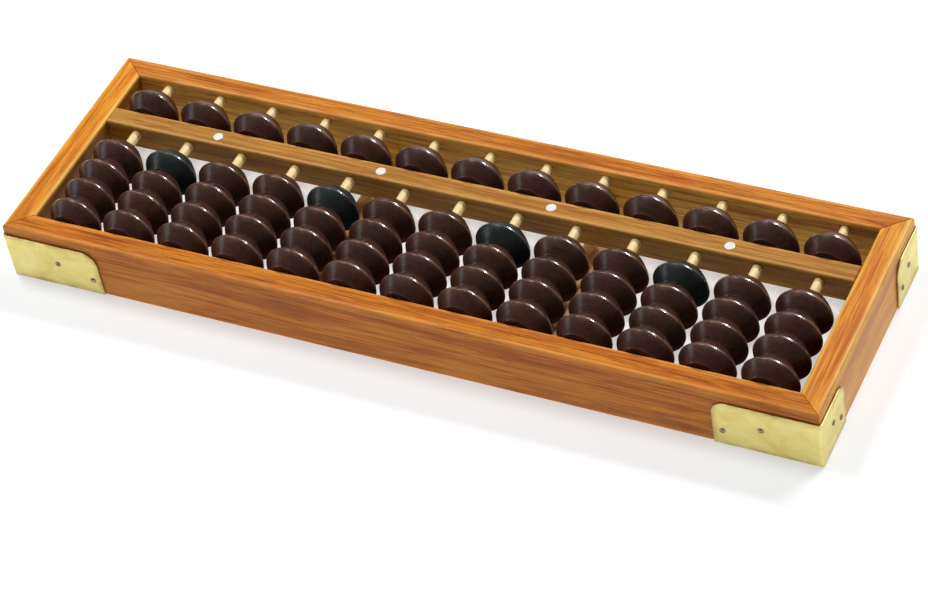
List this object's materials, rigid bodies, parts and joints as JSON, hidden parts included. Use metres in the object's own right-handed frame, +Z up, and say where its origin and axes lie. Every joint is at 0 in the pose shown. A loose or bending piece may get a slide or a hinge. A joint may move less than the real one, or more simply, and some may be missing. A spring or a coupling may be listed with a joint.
{
  "type": "abacus",
  "caption": "Wooden desk abacus: mitred frame with brass corner brackets, a reckoning beam, bamboo rods, one heaven bead and four earth beads per rod.",
  "frame": {"origin": "centre of the frame's footprint, on the surface it stands on", "axes": "+X along the long side to the user's right, +Y away from the user, +Z up"},
  "size_m": [0.3024, 0.0944, 0.029],
  "materials": {
    "frame_wood": "honey-brown oiled hardwood, satin",
    "beam_wood": "the same wood, matter and lighter",
    "brace_wood": "plain unfinished wood",
    "bamboo": "pale bamboo, smooth",
    "bead_brown": "dark brown stained wood, polished",
    "bead_green_black": "greenish black stained wood, polished",
    "brass": "pale rolled brass strip, lightly brushed"
  },
  "bodies": {
    "frame": {"front_rail": "frame_wood", "back_rail": "frame_wood", "left_rail": "frame_wood", "right_rail": "frame_wood", "reckoning_beam": "beam_wood", "left_brace": "brace_wood", "right_brace": "brace_wood", "bracket_front_left": "brass", "bracket_front_right": "brass", "bracket_back_left": "brass", "bracket_back_right": "brass", "rod_01": "bamboo", "rod_02": "bamboo", "rod_03": "bamboo", "rod_04": "bamboo", "rod_05": "bamboo", "rod_06": "bamboo", "rod_07": "bamboo", "rod_08": "bamboo", "rod_09": "bamboo", "rod_10": "bamboo", "rod_11": "bamboo", "rod_12": "bamboo", "rod_13": "bamboo"},
    "heaven_bead_01": {"heaven_bead_01": "bead_brown"},
    "earth_stack_01": {"earth_stack_01": "bead_brown"},
    "heaven_bead_02": {"heaven_bead_02": "bead_brown"},
    "earth_stack_02": {"earth_stack_02": "bead_brown"},
    "earth_bead_top_02": {"earth_bead_top_02": "bead_green_black"},
    "heaven_bead_03": {"heaven_bead_03": "bead_brown"},
    "earth_stack_03": {"earth_stack_03": "bead_brown"},
    "earth_bead_top_03": {"earth_bead_top_03": "bead_brown"},
    "heaven_bead_04": {"heaven_bead_04": "bead_brown"},
    "earth_stack_04": {"earth_stack_04": "bead_brown"},
    "earth_bead_top_04": {"earth_bead_top_04": "bead_brown"},
    "heaven_bead_05": {"heaven_bead_05": "bead_brown"},
    "earth_stack_05": {"earth_stack_05": "bead_brown"},
    "earth_bead_top_05": {"earth_bead_top_05": "bead_green_black"},
    "heaven_bead_06": {"heaven_bead_06": "bead_brown"},
    "earth_stack_06": {"earth_stack_06": "bead_brown"},
    "earth_bead_top_06": {"earth_bead_top_06": "bead_brown"},
    "heaven_bead_07": {"heaven_bead_07": "bead_brown"},
    "earth_stack_07": {"earth_stack_07": "bead_brown"},
    "heaven_bead_08": {"heaven_bead_08": "bead_brown"},
    "earth_stack_08": {"earth_stack_08": "bead_brown"},
    "earth_bead_top_08": {"earth_bead_top_08": "bead_green_black"},
    "heaven_bead_09": {"heaven_bead_09": "bead_brown"},
    "earth_stack_09": {"earth_stack_09": "bead_brown"},
    "earth_bead_top_09": {"earth_bead_top_09": "bead_brown"},
    "heaven_bead_10": {"heaven_bead_10": "bead_brown"},
    "earth_stack_10": {"earth_stack_10": "bead_brown"},
    "earth_bead_top_10": {"earth_bead_top_10": "bead_brown"},
    "heaven_bead_11": {"heaven_bead_11": "bead_brown"},
    "earth_stack_11": {"earth_stack_11": "bead_brown"},
    "earth_bead_top_11": {"earth_bead_top_11": "bead_green_black"},
    "heaven_bead_12": {"heaven_bead_12": "bead_brown"},
    "earth_stack_12": {"earth_stack_12": "bead_brown"},
    "earth_bead_top_12": {"earth_bead_top_12": "bead_brown"},
    "heaven_bead_13": {"heaven_bead_13": "bead_brown"},
    "earth_stack_13": {"earth_stack_13": "bead_brown"}
  },
  "joints": [
    {"name": "heaven_bead_01_slide", "type": "slide", "parent": "frame", "child": "heaven_bead_01", "axis": [0, 1, 0], "range_m": [0, 0.0068]},
    {"name": "earth_stack_01_slide", "type": "slide", "parent": "frame", "child": "earth_stack_01", "axis": [0, 1, 0], "range_m": [0, 0.0083]},
    {"name": "heaven_bead_02_slide", "type": "slide", "parent": "frame", "child": "heaven_bead_02", "axis": [0, 1, 0], "range_m": [0, 0.0068]},
    {"name": "earth_stack_02_slide", "type": "slide", "parent": "frame", "child": "earth_stack_02", "axis": [0, -1, 0], "range_m": [-0.0083, 0]},
    {"name": "earth_bead_top_02_slide", "type": "slide", "parent": "earth_stack_02", "child": "earth_bead_top_02", "axis": [0, 1, 0], "range_m": [0, 0.0083]},
    {"name": "heaven_bead_03_slide", "type": "slide", "parent": "frame", "child": "heaven_bead_03", "axis": [0, 1, 0], "range_m": [0, 0.0068]},
    {"name": "earth_stack_03_slide", "type": "slide", "parent": "frame", "child": "earth_stack_03", "axis": [0, -1, 0], "range_m": [-0.0083, 0]},
    {"name": "earth_bead_top_03_slide", "type": "slide", "parent": "earth_stack_03", "child": "earth_bead_top_03", "axis": [0, 1, 0], "range_m": [0, 0.0083]},
    {"name": "heaven_bead_04_slide", "type": "slide", "parent": "frame", "child": "heaven_bead_04", "axis": [0, 1, 0], "range_m": [0, 0.0068]},
    {"name": "earth_stack_04_slide", "type": "slide", "parent": "frame", "child": "earth_stack_04", "axis": [0, -1, 0], "range_m": [-0.0083, 0]},
    {"name": "earth_bead_top_04_slide", "type": "slide", "parent": "earth_stack_04", "child": "earth_bead_top_04", "axis": [0, 1, 0], "range_m": [0, 0.0083]},
    {"name": "heaven_bead_05_slide", "type": "slide", "parent": "frame", "child": "heaven_bead_05", "axis": [0, 1, 0], "range_m": [0, 0.0068]},
    {"name": "earth_stack_05_slide", "type": "slide", "parent": "frame", "child": "earth_stack_05", "axis": [0, -1, 0], "range_m": [-0.0083, 0]},
    {"name": "earth_bead_top_05_slide", "type": "slide", "parent": "earth_stack_05", "child": "earth_bead_top_05", "axis": [0, 1, 0], "range_m": [0, 0.0083]},
    {"name": "heaven_bead_06_slide", "type": "slide", "parent": "frame", "child": "heaven_bead_06", "axis": [0, 1, 0], "range_m": [0, 0.0068]},
    {"name": "earth_stack_06_slide", "type": "slide", "parent": "frame", "child": "earth_stack_06", "axis": [0, -1, 0], "range_m": [-0.0083, 0]},
    {"name": "earth_bead_top_06_slide", "type": "slide", "parent": "earth_stack_06", "child": "earth_bead_top_06", "axis": [0, 1, 0], "range_m": [0, 0.0083]},
    {"name": "heaven_bead_07_slide", "type": "slide", "parent": "frame", "child": "heaven_bead_07", "axis": [0, 1, 0], "range_m": [0, 0.0068]},
    {"name": "earth_stack_07_slide", "type": "slide", "parent": "frame", "child": "earth_stack_07", "axis": [0, 1, 0], "range_m": [0, 0.0083]},
    {"name": "heaven_bead_08_slide", "type": "slide", "parent": "frame", "child": "heaven_bead_08", "axis": [0, 1, 0], "range_m": [0, 0.0068]},
    {"name": "earth_stack_08_slide", "type": "slide", "parent": "frame", "child": "earth_stack_08", "axis": [0, -1, 0], "range_m": [-0.0083, 0]},
    {"name": "earth_bead_top_08_slide", "type": "slide", "parent": "earth_stack_08", "child": "earth_bead_top_08", "axis": [0, 1, 0], "range_m": [0, 0.0083]},
    {"name": "heaven_bead_09_slide", "type": "slide", "parent": "frame", "child": "heaven_bead_09", "axis": [0, 1, 0], "range_m": [0, 0.0068]},
    {"name": "earth_stack_09_slide", "type": "slide", "parent": "frame", "child": "earth_stack_09", "axis": [0, -1, 0], "range_m": [-0.0083, 0]},
    {"name": "earth_bead_top_09_slide", "type": "slide", "parent": "earth_stack_09", "child": "earth_bead_top_09", "axis": [0, 1, 0], "range_m": [0, 0.0083]},
    {"name": "heaven_bead_10_slide", "type": "slide", "parent": "frame", "child": "heaven_bead_10", "axis": [0, 1, 0], "range_m": [0, 0.0068]},
    {"name": "earth_stack_10_slide", "type": "slide", "parent": "frame", "child": "earth_stack_10", "axis": [0, -1, 0], "range_m": [-0.0083, 0]},
    {"name": "earth_bead_top_10_slide", "type": "slide", "parent": "earth_stack_10", "child": "earth_bead_top_10", "axis": [0, 1, 0], "range_m": [0, 0.0083]},
    {"name": "heaven_bead_11_slide", "type": "slide", "parent": "frame", "child": "heaven_bead_11", "axis": [0, 1, 0], "range_m": [0, 0.0068]},
    {"name": "earth_stack_11_slide", "type": "slide", "parent": "frame", "child": "earth_stack_11", "axis": [0, -1, 0], "range_m": [-0.0083, 0]},
    {"name": "earth_bead_top_11_slide", "type": "slide", "parent": "earth_stack_11", "child": "earth_bead_top_11", "axis": [0, 1, 0], "range_m": [0, 0.0083]},
    {"name": "heaven_bead_12_slide", "type": "slide", "parent": "frame", "child": "heaven_bead_12", "axis": [0, 1, 0], "range_m": [0, 0.0068]},
    {"name": "earth_stack_12_slide", "type": "slide", "parent": "frame", "child": "earth_stack_12", "axis": [0, -1, 0], "range_m": [-0.0083, 0]},
    {"name": "earth_bead_top_12_slide", "type": "slide", "parent": "earth_stack_12", "child": "earth_bead_top_12", "axis": [0, 1, 0], "range_m": [0, 0.0083]},
    {"name": "heaven_bead_13_slide", "type": "slide", "parent": "frame", "child": "heaven_bead_13", "axis": [0, 1, 0], "range_m": [0, 0.0068]},
    {"name": "earth_stack_13_slide", "type": "slide", "parent": "frame", "child": "earth_stack_13", "axis": [0, 1, 0], "range_m": [0, 0.0083]}
  ]
}
